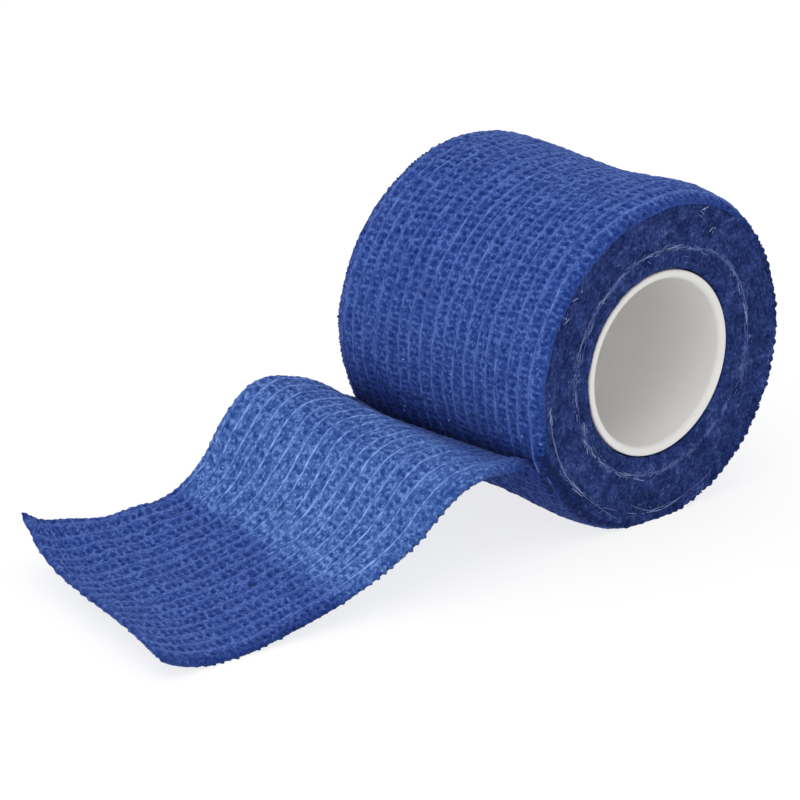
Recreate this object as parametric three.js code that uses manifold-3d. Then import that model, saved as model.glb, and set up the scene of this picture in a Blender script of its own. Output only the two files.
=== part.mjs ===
// Cohesive bandage roll: crepe cloth wound on a tube core, its loose end lying in a hump beside the roll.
// Millimetres, +Z up. The roll's axis runs along Y, and the loose end leaves the roll toward -X.
// The origin lies on the surface that the roll rests on, under the axis and halfway across the cloth.

import * as THREE from "three";
import { mergeVertices } from "three/addons/utils/BufferGeometryUtils.js";
import Module from "manifold-3d";

const wasm = await Module();
wasm.setup();

// Driving dimensions
const clothWidth = 50;
const clothThickness = 1.2; // of the puckered crepe
const turnStep = 0.8; // what the outermost turn adds to the radius
const axisHeight = 28.4; // under the wound radius, so the roll's own weight presses a flat spot
const coreOuterRadius = 16.5;
const coreWall = 1.6;
const coreLength = 49.4;
const coreGap = 0.3; // between the core and the innermost turn
const coreEdgeRound = 0.4;

// Steps of the meshes
const turnSteps = 80; // round the roll
const widthSteps = 16; // across the roll's wound surface
const alongSteps = 64; // along the loose end
const acrossSteps = 10; // across the loose end
const rimSteps = 2; // round a quarter of the core's rounded rim

const halfWidth = clothWidth / 2;
const boreRadius = coreOuterRadius + coreGap;

// The wound surface from the near rim to the far one: full near the rims and slack between them.
const woundProfile = [
  { y: -25, radius: 28.4 },
  { y: -23.8, radius: 29.0 },
  { y: -21, radius: 29.4 },
  { y: -17, radius: 29.5 },
  { y: -12, radius: 29.3 },
  { y: -6, radius: 29.05 },
  { y: 0, radius: 28.95 },
  { y: 6, radius: 29.05 },
  { y: 12, radius: 29.3 },
  { y: 18, radius: 29.35 },
  { y: 22, radius: 29.2 },
  { y: 24, radius: 28.95 },
  { y: 25, radius: 28.4 },
];

// How far the turns' edges stand behind the end face's plane, from the bore outward.
const endFaceProfile = [
  { fraction: 0, recess: 0.45 },
  { fraction: 0.12, recess: 0.1 },
  { fraction: 0.3, recess: 0.3 },
  { fraction: 0.5, recess: 0.15 },
  { fraction: 0.7, recess: 0.35 },
  { fraction: 0.9, recess: 0.1 },
];

// Soft bulges of the wound surface: angle and spread are degrees up from +X, y and reach are across it.
const bulges = [
  { angle: 58, spread: 44, y: -18, reach: 16, height: 1.1 },
  { angle: 240, spread: 30, y: -18, reach: 12, height: 0.25 },
  { angle: 0, spread: 50, y: 4, reach: 22, height: -0.25 },
  { angle: 125, spread: 45, y: 14, reach: 18, height: 0.4 },
  { angle: 174, spread: 30, y: 22, reach: 14, height: 0.5 },
];

// Where the loose end parts from the roll, as angles up from +X seen from the near end face.
const partingAngle = { near: 206, far: 215 };
const rootAngles = [26, 14, 4]; // before the parting line, where the root follows the roll's last turn
const rootInset = 0.5; // of the root's long edges behind the end faces
const rootDepth = 0.15; // of the root's outer face under the wound surface

// The middle of the cloth's thickness at both long edges, from the parting line to the cut end.
// sag is how far the cloth hangs under a straight line between its edges, and drift is its way toward +Y.
const looseEndStations = [
  { nearX: -28.0, nearZ: 16.9, farX: -24.2, farZ: 13.2, sag: 0, drift: 0 },
  { nearX: -33.5, nearZ: 17.9, farX: -29.0, farZ: 15.9, sag: 0, drift: 0.05 },
  { nearX: -39.8, nearZ: 18.3, farX: -34.1, farZ: 19.0, sag: 0.2, drift: 0.1 },
  { nearX: -45.5, nearZ: 17.2, farX: -39.5, farZ: 21.5, sag: 0.3, drift: 0.2 },
  { nearX: -50.1, nearZ: 14.7, farX: -44.4, farZ: 22.8, sag: 0.2, drift: 0.3 },
  { nearX: -55.4, nearZ: 10.7, farX: -50.4, farZ: 21.2, sag: 0, drift: 0.5 },
  { nearX: -60.3, nearZ: 8.1, farX: -54.9, farZ: 17.3, sag: 0, drift: 0.7 },
  { nearX: -67.2, nearZ: 5.5, farX: -58.9, farZ: 11.3, sag: 0.2, drift: 0.9 },
  { nearX: -73.9, nearZ: 3.6, farX: -64.2, farZ: 7.2, sag: 0.3, drift: 1.1 },
  { nearX: -83.4, nearZ: 1.7, farX: -74.0, farZ: 5.8, sag: 0.5, drift: 1.5 },
  { nearX: -92.5, nearZ: 0.4, farX: -83.2, farZ: 6.3, sag: 1.0, drift: 1.9 },
  { nearX: -99.5, nearZ: 0.5, farX: -89.9, farZ: 7.6, sag: 1.9, drift: 2.3 },
  { nearX: -105.3, nearZ: 1.9, farX: -94.4, farZ: 9.2, sag: 2.9, drift: 2.6 },
  { nearX: -109.6, nearZ: 3.9, farX: -97.5, farZ: 11.0, sag: 3.9, drift: 2.8 },
];
const numberedStations = looseEndStations.map((station, index) => ({ ...station, index }));
const sagLean = 2.2; // over 1 the cloth hangs lowest nearer its far edge
const rippleHeight = 0.2; // of the loose end's far edge
const rippleLength = 13;
const rippleStart = 3; // stations from the parting line to where the ripple is full

const clothBlue = new THREE.MeshStandardMaterial({ color: 0x1d3f9c, roughness: 0.9, metalness: 0 });
const corePlastic = new THREE.MeshStandardMaterial({ color: 0xe4e3dc, roughness: 0.5, metalness: 0 });

// One column of a table at a place between its rows, on a smooth curve through them.
function tableValue(rows, key, place, column) {
  const last = rows.length - 1;
  const next = Math.max(1, rows.findIndex((row) => row[key] >= place));
  const at = (index) => rows[Math.min(last, Math.max(0, index))];
  const from = at(next - 1);
  const to = at(next);
  const share = (place - from[key]) / (to[key] - from[key]);
  const slope = (before, after) => (after[column] - before[column]) / (after[key] - before[key] || 1);
  const span = to[key] - from[key];
  const startSlope = slope(at(next - 2), to) * span;
  const endSlope = slope(from, at(next + 1)) * span;
  const square = share * share;
  const cube = square * share;
  return (
    (2 * cube - 3 * square + 1) * from[column] +
    (cube - 2 * square + share) * startSlope +
    (3 * square - 2 * cube) * to[column] +
    (cube - square) * endSlope
  );
}

// A bump of height 1 that fades to nothing at a distance of 1.
function bump(distance) {
  return distance < 1 ? 0.5 + 0.5 * Math.cos(Math.PI * distance) : 0;
}

function partingAngleAt(y) {
  return THREE.MathUtils.mapLinear(y, -halfWidth, halfWidth, partingAngle.near, partingAngle.far);
}

// The wound radius at a share of the last turn, from just above the parting line round to just under it.
function woundRadius(turnShare, y) {
  const angle = partingAngleAt(y) - 360 * turnShare;
  const swelling = bulges.reduce((sum, bulge) => {
    const away = THREE.MathUtils.euclideanModulo(angle - bulge.angle + 180, 360) - 180;
    const roundShare = bump(Math.abs(away) / bulge.spread);
    const widthShare = bump(Math.abs(y - bulge.y) / bulge.reach);
    return sum + bulge.height * roundShare * widthShare;
  }, 0);
  return tableValue(woundProfile, "y", y, "radius") + turnStep * (turnShare - 0.5) + swelling;
}

function rollPoint(angle, radius, y) {
  const radians = THREE.MathUtils.degToRad(angle);
  return new THREE.Vector3(radius * Math.cos(radians), y, axisHeight + radius * Math.sin(radians));
}

function indexedGeometry(points, indices) {
  const positions = points.flatMap((point) => point.toArray());
  const geometry = new THREE.BufferGeometry();
  geometry.setAttribute("position", new THREE.Float32BufferAttribute(positions, 3));
  geometry.setIndex(indices);
  return geometry;
}

// Joins a grid of points, closed in both directions, into the surface of a ring.
function ringSurface(rows) {
  const rowLength = rows[0].length;
  const indices = rows.flatMap((row, r) =>
    row.flatMap((_, c) => {
      const nextRow = ((r + 1) % rows.length) * rowLength;
      const nextColumn = (c + 1) % rowLength;
      const corner = r * rowLength + c;
      const across = r * rowLength + nextColumn;
      return [corner, nextRow + c, nextRow + nextColumn, corner, nextRow + nextColumn, across];
    }),
  );
  return indexedGeometry(rows.flat(), indices);
}

function toSolid(geometry) {
  const bare = geometry.clone();
  bare.deleteAttribute("normal");
  bare.deleteAttribute("uv");
  const merged = mergeVertices(bare, 1e-4);
  const mesh = new wasm.Mesh({
    numProp: 3,
    vertProperties: merged.attributes.position.array,
    triVerts: new Uint32Array(merged.index.array),
  });
  return new wasm.Manifold(mesh);
}

function toGeometry(solid) {
  const mesh = solid.getMesh();
  const geometry = new THREE.BufferGeometry();
  geometry.setAttribute("position", new THREE.BufferAttribute(mesh.vertProperties, 3));
  geometry.setIndex(new THREE.BufferAttribute(mesh.triVerts, 1));
  geometry.computeVertexNormals();
  return geometry;
}

// The wound turns as one ring: out over the near end face, along the roll and back over the far end face.
function woundTurns() {
  const facePoint = (share, row, side) => {
    const y = side * halfWidth;
    const radius = THREE.MathUtils.lerp(boreRadius, woundRadius(share, y), row.fraction);
    return rollPoint(partingAngleAt(y) - 360 * share, radius, side * (halfWidth - row.recess));
  };
  const surfacePoint = (share, step) => {
    const y = halfWidth * Math.sin(Math.PI * (step / widthSteps - 0.5)); // steps close up toward the rims
    return rollPoint(partingAngleAt(y) - 360 * share, woundRadius(share, y), y);
  };
  const rows = [];
  for (let turn = 0; turn < turnSteps; turn += 1) {
    const share = turn / turnSteps;
    const row = endFaceProfile.map((station) => facePoint(share, station, -1));
    for (let step = 0; step <= widthSteps; step += 1) {
      row.push(surfacePoint(share, step));
    }
    row.push(...endFaceProfile.map((station) => facePoint(share, station, 1)).reverse());
    rows.push(row);
  }
  return ringSurface(rows);
}

// A long edge of the loose end: its root on the roll's last turn, then its stations.
function longEdge(side) {
  const y = side === "near" ? -halfWidth : halfWidth;
  const rootY = y - Math.sign(y) * rootInset;
  const root = rootAngles.map((before) => {
    const radius = woundRadius(1 - before / 360, rootY) - clothThickness / 2 - rootDepth;
    return rollPoint(partingAngleAt(y) + before, radius, rootY);
  });
  const free = looseEndStations.map(
    (station) => new THREE.Vector3(station[side + "X"], y + station.drift, station[side + "Z"]),
  );
  return new THREE.CatmullRomCurve3([...root, ...free]);
}

// The middle surface of the loose end, at a share of its length and of its width from the near edge.
function looseEndPoint(edges, along, across) {
  const point = edges.near.getPoint(along).lerp(edges.far.getPoint(along), across);
  const stationCount = rootAngles.length + looseEndStations.length - 1;
  const station = Math.max(0, along * stationCount - rootAngles.length);
  const sag = tableValue(numberedStations, "index", station, "sag");
  const ripple = Math.min(1, station / rippleStart) * Math.sin((2 * Math.PI * point.x) / rippleLength);
  point.z += rippleHeight * ripple * across;
  point.z -= sag * Math.sin(Math.PI * across ** sagLean);
  return point;
}

// The loose end with its thickness, in sections that run out over one face and back over the other.
function looseEnd() {
  const edges = { near: longEdge("near"), far: longEdge("far") };
  const nearby = 1e-3; // share of the length or width over which a slope is taken
  const facePoint = (along, across, side) => {
    const before = looseEndPoint(edges, Math.max(0, along - nearby), across);
    const after = looseEndPoint(edges, Math.min(1, along + nearby), across);
    const nearer = looseEndPoint(edges, along, Math.max(0, across - nearby));
    const farther = looseEndPoint(edges, along, Math.min(1, across + nearby));
    const normal = after.sub(before).cross(farther.sub(nearer)).normalize();
    return looseEndPoint(edges, along, across).addScaledVector(normal, (side * clothThickness) / 2);
  };
  const sections = [];
  for (let i = 0; i <= alongSteps; i += 1) {
    const section = [];
    for (let j = 0; j <= acrossSteps; j += 1) {
      section.push(facePoint(i / alongSteps, j / acrossSteps, 1));
    }
    for (let j = acrossSteps; j >= 0; j -= 1) {
      section.push(facePoint(i / alongSteps, j / acrossSteps, -1));
    }
    sections.push(section);
  }
  return cappedLoft(sections);
}

// Joins closed sections of equal length into a solid, its first and last sections capped strip by strip.
function cappedLoft(sections) {
  const size = sections[0].length;
  const indices = [];
  const lastStart = (sections.length - 1) * size;
  for (let start = 0; start < lastStart; start += size) {
    for (let c = 0; c < size; c += 1) {
      const nextColumn = (c + 1) % size;
      indices.push(start + c, start + size + nextColumn, start + nextColumn);
      indices.push(start + c, start + size + c, start + size + nextColumn);
    }
  }
  for (let c = 0; c < size / 2 - 1; c += 1) {
    const opposite = size - 1 - c;
    indices.push(c, opposite - 1, opposite, c, c + 1, opposite - 1);
    indices.push(lastStart + c, lastStart + opposite - 1, lastStart + c + 1);
    indices.push(lastStart + c, lastStart + opposite, lastStart + opposite - 1);
  }
  return indexedGeometry(sections.flat(), indices);
}

// Everything under the resting surface, which presses the roll and the loose end's edge flat.
function underSurface() {
  const slab = { length: 300, width: 120, depth: 10 };
  return new THREE.BoxGeometry(slab.length, slab.width, slab.depth).translate(0, 0, -slab.depth / 2);
}

function bandageGeometry() {
  const cloth = toSolid(woundTurns()).add(toSolid(looseEnd()));
  return toGeometry(cloth.subtract(toSolid(underSurface())));
}

// The tube core, turned about its axis, with its rims a little rounded.
function coreGeometry() {
  const innerCentre = coreOuterRadius - coreWall + coreEdgeRound;
  const outerCentre = coreOuterRadius - coreEdgeRound;
  const rimCentre = coreLength / 2 - coreEdgeRound;
  const quarter = Math.PI / 2;
  const profile = new THREE.Path();
  profile.absarc(outerCentre, rimCentre, coreEdgeRound, 0, quarter, false);
  profile.absarc(innerCentre, rimCentre, coreEdgeRound, quarter, 2 * quarter, false);
  profile.absarc(innerCentre, -rimCentre, coreEdgeRound, 2 * quarter, 3 * quarter, false);
  profile.absarc(outerCentre, -rimCentre, coreEdgeRound, 3 * quarter, 4 * quarter, false);
  const corners = profile.getPoints(rimSteps);
  return new THREE.LatheGeometry([...corners, corners[0].clone()], turnSteps);
}

const bandageRoll = new THREE.Group();

const bandage = new THREE.Mesh(bandageGeometry(), clothBlue);
bandage.name = "bandage";
bandageRoll.add(bandage);

const core = new THREE.Mesh(coreGeometry(), corePlastic);
core.name = "core";
core.position.z = axisHeight;
bandageRoll.add(core);

export default bandageRoll;
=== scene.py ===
import bpy
import numpy as np
from mathutils import Matrix, Vector


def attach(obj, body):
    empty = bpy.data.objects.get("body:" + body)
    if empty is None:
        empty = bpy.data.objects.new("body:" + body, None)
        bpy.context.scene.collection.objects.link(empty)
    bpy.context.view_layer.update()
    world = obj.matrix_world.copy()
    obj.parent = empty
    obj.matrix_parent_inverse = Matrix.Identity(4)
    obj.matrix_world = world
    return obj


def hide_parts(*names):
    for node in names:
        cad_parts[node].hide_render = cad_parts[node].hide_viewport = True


# Cohesive bandage roll: crepe cloth on a tube core, with its loose end lying in a hump beside the roll.
# Shapes are worked out in millimetres and written to the meshes in metres.

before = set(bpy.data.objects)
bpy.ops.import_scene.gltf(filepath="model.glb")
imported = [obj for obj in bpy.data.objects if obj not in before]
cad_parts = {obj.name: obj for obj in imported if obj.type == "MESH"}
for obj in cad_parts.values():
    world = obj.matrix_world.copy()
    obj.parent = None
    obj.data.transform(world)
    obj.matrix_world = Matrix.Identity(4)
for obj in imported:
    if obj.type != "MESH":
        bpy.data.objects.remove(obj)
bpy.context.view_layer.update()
print("frame loaded:", ", ".join(sorted(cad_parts)))

# Where the camera stands and what it looks along
cameraView = {
    "location": (-0.65844, -0.66260, 0.36767),
    "right": (0.73263318, -0.68051527, 0.01214863),
    "up": (0.23255233, 0.26705787, 0.93520025),
    "lens": 257.88,
    "sensor": 36.0,
}


def placeCamera():
    right, up = Vector(cameraView["right"]), Vector(cameraView["up"])
    back = right.cross(up)
    turn = Matrix((right, up, back)).transposed()
    data = bpy.data.cameras.new("rollCamera")
    data.lens = cameraView["lens"]
    data.sensor_width = cameraView["sensor"]
    data.clip_end = 20
    camera = bpy.data.objects.new("rollCamera", data)
    camera.matrix_world = Matrix.Translation(cameraView["location"]) @ turn.to_4x4()
    bpy.context.collection.objects.link(camera)
    bpy.context.scene.camera = camera
    print("camera placed, lens", cameraView["lens"], "mm")


# Number tools, which work on whole arrays of places at once
def cubic(share, start, end, startSlope, endSlope):
    # from start to end, with a slope at each
    square, cube = share**2, share**3
    between = (2 * cube - 3 * square + 1) * start + (3 * square - 2 * cube) * end
    return between + (cube - 2 * square + share) * startSlope + (cube - square) * endSlope


def smoothThrough(places, values, at):
    # a smooth curve through the values at the places
    places, values, at = np.array(places, float), np.array(values, float), np.asarray(at, float)
    last = len(places) - 1
    after = np.clip(np.searchsorted(places, at), 1, last)
    before = after - 1
    span = places[after] - places[before]
    share = (at - places[before]) / span
    outer, further = np.clip(before - 1, 0, last), np.clip(after + 1, 0, last)
    startSlope = (values[after] - values[outer]) / (places[after] - places[outer]) * span
    endSlope = (values[further] - values[before]) / (places[further] - places[before]) * span
    return cubic(share, values[before], values[after], startSlope, endSlope)


def fade(low, high, at):
    # 0 below low, 1 above high, smooth between
    share = np.clip((at - low) / (high - low), 0, 1)
    return share * share * (3 - 2 * share)


def bump(distance):
    return np.where(distance < 1, 0.5 + 0.5 * np.cos(np.pi * np.minimum(distance, 1)), 0)


def cellValue(i, j, seed):
    # one random number from 0 to 1 for each whole-numbered cell, the same in every run
    table = np.random.default_rng(seed).random((256, 256))
    return table[np.asarray(i).astype(int) % 256, np.asarray(j).astype(int) % 256]


def softNoise(u, v, seed):
    # smooth random swell from -1 to 1, one wave about every two units
    u, v = np.broadcast_arrays(np.asarray(u, float), np.asarray(v, float))
    i, j = np.floor(u), np.floor(v)
    fu, fv = u - i, v - j
    fu, fv = fu * fu * (3 - 2 * fu), fv * fv * (3 - 2 * fv)
    low = cellValue(i, j, seed) * (1 - fu) + cellValue(i + 1, j, seed) * fu
    high = cellValue(i, j + 1, seed) * (1 - fu) + cellValue(i + 1, j + 1, seed) * fu
    return 2 * (low * (1 - fv) + high * fv) - 1


def unit(vectors):
    return vectors / np.maximum(np.linalg.norm(vectors, axis=-1, keepdims=True), 1e-9)


# Mesh tools
def gridFaces(rows, columns, closed=False, start=0, flip=False):
    # quads of a grid of points, its last row joined to its first if it is closed
    i, j = np.meshgrid(np.arange(rows if closed else rows - 1), np.arange(columns - 1), indexing="ij")
    below = (i + 1) % rows
    quads = np.stack([i * columns + j, below * columns + j, below * columns + j + 1, i * columns + j + 1], -1)
    quads = quads.reshape(-1, 4) + start
    return quads[:, ::-1] if flip else quads


def makePiece(name, points, faces, material, values=None, clothPlace=None):
    # a mesh from millimetre points, with its numbers per point and the place on the cloth as its UV map
    mesh = bpy.data.meshes.new(name)
    mesh.from_pydata((np.asarray(points) * 0.001).tolist(), [], [list(face) for face in faces])
    mesh.polygons.foreach_set("use_smooth", [True] * len(mesh.polygons))
    for label, numbers in (values or {}).items():
        layer = mesh.attributes.new(label, "FLOAT", "POINT")
        layer.data.foreach_set("value", np.asarray(numbers, np.float32).ravel())
    if clothPlace is not None:
        corners = np.zeros(len(mesh.loops), np.int32)
        mesh.loops.foreach_get("vertex_index", corners)
        layer = mesh.uv_layers.new(name="clothPlace")
        layer.data.foreach_set("uv", (np.asarray(clothPlace)[corners] * 0.01).astype(np.float32).ravel())
    mesh.materials.append(material)
    mesh.update()
    piece = bpy.data.objects.new(name, mesh)
    bpy.context.collection.objects.link(piece)
    triangles = sum(len(face.vertices) - 2 for face in mesh.polygons)
    print(f"{name}: {triangles} triangles")
    return piece


def tubes(lines, radii, sides, facing=None):
    # points and faces of many round threads: lines is (threads, points, 3), radii (threads, points)
    lines, radii = np.asarray(lines, float), np.asarray(radii, float)
    count, steps = lines.shape[:2]
    along = unit(np.gradient(lines, axis=1))
    if facing is None:
        facing = np.where(np.abs(along[..., 2:3]) > 0.8, [1.0, 0, 0], [0, 0, 1.0])
    first = unit(np.cross(along, facing))
    second = np.cross(first, along)
    turn = 2 * np.pi * np.arange(sides) / sides
    ring = np.cos(turn)[:, None] * first[:, :, None] + np.sin(turn)[:, None] * second[:, :, None]
    points = lines[:, :, None] + radii[:, :, None, None] * ring
    k, i, j = np.meshgrid(np.arange(count), np.arange(steps - 1), np.arange(sides), indexing="ij")
    start = (k * steps + i) * sides
    beside = (j + 1) % sides
    quads = np.stack([start + j, start + beside, start + sides + beside, start + sides + j], -1)
    faces = quads.reshape(-1, 4).tolist()
    for thread in range(count):
        base, tip = thread * steps * sides, (thread * steps + steps - 1) * sides
        faces.append([base + j for j in reversed(range(sides))])
        faces.append([tip + j for j in range(sides)])
    return points.reshape(-1, 3), faces


def makeThreads(name, lines, radii, glow, sides, material, facing=None):
    # a piece of many round threads, with a brightness for each thread or for each of its points
    points, faces = tubes(lines, radii, sides, facing)
    glow = np.broadcast_to(glow.reshape(len(lines), -1), radii.shape)
    return makePiece(name, points, faces, material, {"glow": np.repeat(glow.ravel(), sides)})


# Material tools
def shaderOf(name, roughness, sheen=0.0, sheenTint=(1, 1, 1, 1), gloss=0.3):
    material = bpy.data.materials.new(name)
    material.use_nodes = True
    shader = material.node_tree.nodes["Principled BSDF"]
    shader.inputs["Roughness"].default_value = roughness
    shader.inputs["Specular IOR Level"].default_value = gloss
    shader.inputs["Sheen Weight"].default_value = sheen
    shader.inputs["Sheen Roughness"].default_value = 0.45
    shader.inputs["Sheen Tint"].default_value = sheenTint
    return material, shader


def addNode(material, kind, **settings):
    node = material.node_tree.nodes.new(kind)
    for key, value in settings.items():
        setattr(node, key, value)
    return node


def join(material, fromSocket, toSocket):
    material.node_tree.links.new(fromSocket, toSocket)


def rampOf(material, stops):
    ramp = addNode(material, "ShaderNodeValToRGB")
    ramp.color_ramp.elements[0].position, ramp.color_ramp.elements[0].color = stops[0][0], (*stops[0][1], 1)
    ramp.color_ramp.elements[1].position, ramp.color_ramp.elements[1].color = stops[-1][0], (*stops[-1][1], 1)
    for place, colour in stops[1:-1]:
        ramp.color_ramp.elements.new(place).color = (*colour, 1)
    return ramp


def noiseOf(material, place, scale, detail=2.0, stretch=(1, 1, 1)):
    noise = addNode(material, "ShaderNodeTexNoise")
    noise.inputs["Scale"].default_value = scale
    noise.inputs["Detail"].default_value = detail
    mapping = addNode(material, "ShaderNodeMapping")
    mapping.inputs["Scale"].default_value = stretch
    join(material, place, mapping.inputs["Vector"])
    join(material, mapping.outputs["Vector"], noise.inputs["Vector"])
    return noise.outputs["Fac"]


def mathOf(material, operation, first, second):
    node = addNode(material, "ShaderNodeMath", operation=operation)
    for socket, value in zip(node.inputs, (first, second)):
        if isinstance(value, (int, float)):
            socket.default_value = value
        else:
            join(material, value, socket)
    return node.outputs[0]


def clothShader(name, look):
    # crepe cloth: its colour follows the height number, which holds how deep a point lies and the painted shade
    # laid into it, and fuzz breaks it up
    material, shader = shaderOf(name, look["roughness"], look["sheen"], look["sheenTint"], look["gloss"])
    place = addNode(material, "ShaderNodeTexCoord").outputs["UV"]
    height = addNode(material, "ShaderNodeAttribute", attribute_name="height").outputs["Fac"]
    fine = noiseOf(material, place, look["fuzzScale"], 1.2, look["fuzzStretch"])
    broad = noiseOf(material, place, look["patchScale"], 2.0)
    shade = height
    for noise, amount in ((fine, look["fuzzShade"]), (broad, look["patchShade"])):
        swing = mathOf(material, "MULTIPLY", mathOf(material, "SUBTRACT", noise, 0.5), amount)
        shade = mathOf(material, "ADD", shade, swing)
    own = rampOf(material, look["colours"])
    join(material, shade, own.inputs["Fac"])
    colour = own.outputs["Color"]
    if "stretchedColours" in look:
        dots = mathOf(material, "SUBTRACT", noiseOf(material, place, look["dotScale"], 1.0), look["dotLevel"])
        dots = mathOf(material, "MULTIPLY", mathOf(material, "MAXIMUM", dots, 0.0), look["dotShade"])
        shade = mathOf(material, "ADD", shade, dots)
        stretched = rampOf(material, look["stretchedColours"])
        join(material, shade, stretched.inputs["Fac"])
        mix = addNode(material, "ShaderNodeMix", data_type="RGBA")
        lift = addNode(material, "ShaderNodeAttribute", attribute_name="stretch").outputs["Fac"]
        join(material, lift, mix.inputs["Factor"])
        join(material, colour, mix.inputs["A"])
        join(material, stretched.outputs["Color"], mix.inputs["B"])
        colour = mix.outputs["Result"]
    join(material, colour, shader.inputs["Base Color"])
    fuzz = addNode(material, "ShaderNodeBump")
    fuzz.inputs["Strength"].default_value = look["fuzzStrength"]
    fuzz.inputs["Distance"].default_value = 0.0001
    join(material, fine, fuzz.inputs["Height"])
    join(material, fuzz.outputs["Normal"], shader.inputs["Normal"])
    return material


def threadShader(name, look):
    # thread colour runs from dull to bright with the number stored on each point
    material, shader = shaderOf(name, look["roughness"], look["sheen"], (0.7, 0.8, 1, 1), 0.3)
    glow = addNode(material, "ShaderNodeAttribute", attribute_name="glow").outputs["Fac"]
    ramp = rampOf(material, look["colours"])
    join(material, glow, ramp.inputs["Fac"])
    join(material, ramp.outputs["Color"], shader.inputs["Base Color"])
    return material


# The wound roll's form: radii in mm across the roll, and what the bulges add to them
rollForm = {
    "halfWidth": 25.0,
    "axisHeight": 28.4,
    "turnStep": 0.8,  # what the outermost turn adds to the radius
    "boreRadius": 16.8,
    "partingNear": 206.0,  # where the loose end leaves the roll, degrees up from +X
    "partingFar": 215.0,
    "places": (-25, -23.8, -21, -17, -12, -6, 0, 6, 12, 18, 22, 24, 25),
    "radii": (28.4, 29.0, 29.4, 29.5, 29.3, 29.05, 28.95, 29.05, 29.3, 29.35, 29.2, 28.95, 28.4),
    # angle, spread, place across, reach, height
    "bulges": (
        (58, 44, -18, 16, 1.1),
        (240, 30, -18, 12, 0.25),
        (0, 50, 4, 22, -0.25),
        (125, 45, 14, 18, 0.4),
        (174, 30, 22, 14, 0.5),
    ),
    "clothRound": 182.0,  # length of cloth in the last turn
}


def partingAt(across):
    share = (across + rollForm["halfWidth"]) / (2 * rollForm["halfWidth"])
    return rollForm["partingNear"] + share * (rollForm["partingFar"] - rollForm["partingNear"])


def woundRadius(turn, across):
    angle = partingAt(across) - 360 * turn
    radius = smoothThrough(rollForm["places"], rollForm["radii"], across) + rollForm["turnStep"] * (turn - 0.5)
    for middle, spread, place, reach, height in rollForm["bulges"]:
        away = np.abs((angle - middle + 180) % 360 - 180)
        radius = radius + height * bump(away / spread) * bump(np.abs(across - place) / reach)
    return radius


def rollPoint(angle, radius, across):
    turned = np.radians(angle)
    x, z = radius * np.cos(turned), rollForm["axisHeight"] + radius * np.sin(turned)
    return np.stack(np.broadcast_arrays(x, across, z), -1)


# The crepe: elastic threads run along the cloth, and between them the cloth puckers into rows of pits
crepe = {
    "threadCount": 18,
    "threadSpacing": 2.7,
    "threadWander": 0.32,
    "pitPitch": 1.6,  # from one pit to the next along the cloth
    "frontPitch": 1.25,  # the same low on the roll's front, where the pits crowd
    "frontPlace": -148,  # where that starts, along the cloth from the parting line
    "calmPits": 0.68,  # share of their depth that the pits keep there
    "calmPlaces": (-166, -138),  # where that starts and ends
    "pitDepth": 0.26,
    "pitWidth": (0.5, 0.85),  # half the width of the smallest and the widest pit
    "pitLength": 0.33,  # half the length of a pit, as a share of the pitch
    "pitSides": (0.2, 1.25),  # where a pit's sides start and end, as shares of its size
    "doublePits": 0.35,  # share of pits that are two small ones side by side
    "doubleApart": 0.62,
    "lipPlace": 1.45,  # the lip round a pit, as shares of the pit's size
    "lipWidth": 0.26,
    "lipRise": 0.07,
    "ridgeWidth": 0.32,  # the cloth gathered up beside a thread
    "ridgeRise": 0.09,
    "lightLips": 0.42,  # how much lighter lips and ridges are, partly as a painted highlight
    "rowDrift": 0.9,
    "rowShift": 0.3,  # how far the pits of one column slip past the next one's, in pits
    "grain": 0.06,
    "looseSpread": 0.055,  # how much wider apart the threads lie on the loose end
    "looseShift": 0.9,  # and how far over to the near edge
    "humpLean": 2.7,  # how far they lean to the far edge on top of the hump
    "humpBow": 1.75,  # and how far they bow to the near edge at its foot
    "humpTop": 17,
    "humpFoot": 38,
    "bowLength": (11, 8),  # how far along the bow reaches before the foot and after it
    "bowAcross": 11,
}


def threadPlace(number, along):
    # how far across the cloth an elastic thread runs
    middle = (crepe["threadCount"] - 1) / 2
    wander = softNoise(along / 9 + 13.7 * number, 3.3 * number, 11)
    wander = wander + 0.4 * softNoise(along / 2.6, 5.1 * number, 12)
    wander = wander + 0.16 * softNoise(along / 0.9, 4.3 * number, 13)
    evenPlace = (number - middle) * crepe["threadSpacing"]
    loose = fade(-14, -2, along)
    evenPlace = evenPlace + loose * (crepe["looseSpread"] * evenPlace - crepe["looseShift"])
    foot = crepe["humpFoot"]
    lean = crepe["humpLean"] * loose * (1 - fade(crepe["humpTop"], foot, along)) * fade(-27, -17, evenPlace)
    bowLength = np.where(along < foot, *crepe["bowLength"])
    bow = crepe["humpBow"] * np.exp(-(((along - foot) / bowLength) ** 2))
    bow = bow * np.exp(-(((evenPlace - 1) / crepe["bowAcross"]) ** 2))
    return evenPlace + crepe["threadWander"] * wander + lean - bow


def pitRow(along, across):
    # the row number of the puckers, which drifts slowly across the cloth
    drift = softNoise(along / 12, across / 9, 21) + 0.35 * softNoise(along / 3.5, across / 2.7, 22)
    crowded = np.minimum(along - crepe["frontPlace"], 0) * (1 / crepe["frontPitch"] - 1 / crepe["pitPitch"])
    return (along + crepe["rowDrift"] * drift) / crepe["pitPitch"] + crowded


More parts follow.
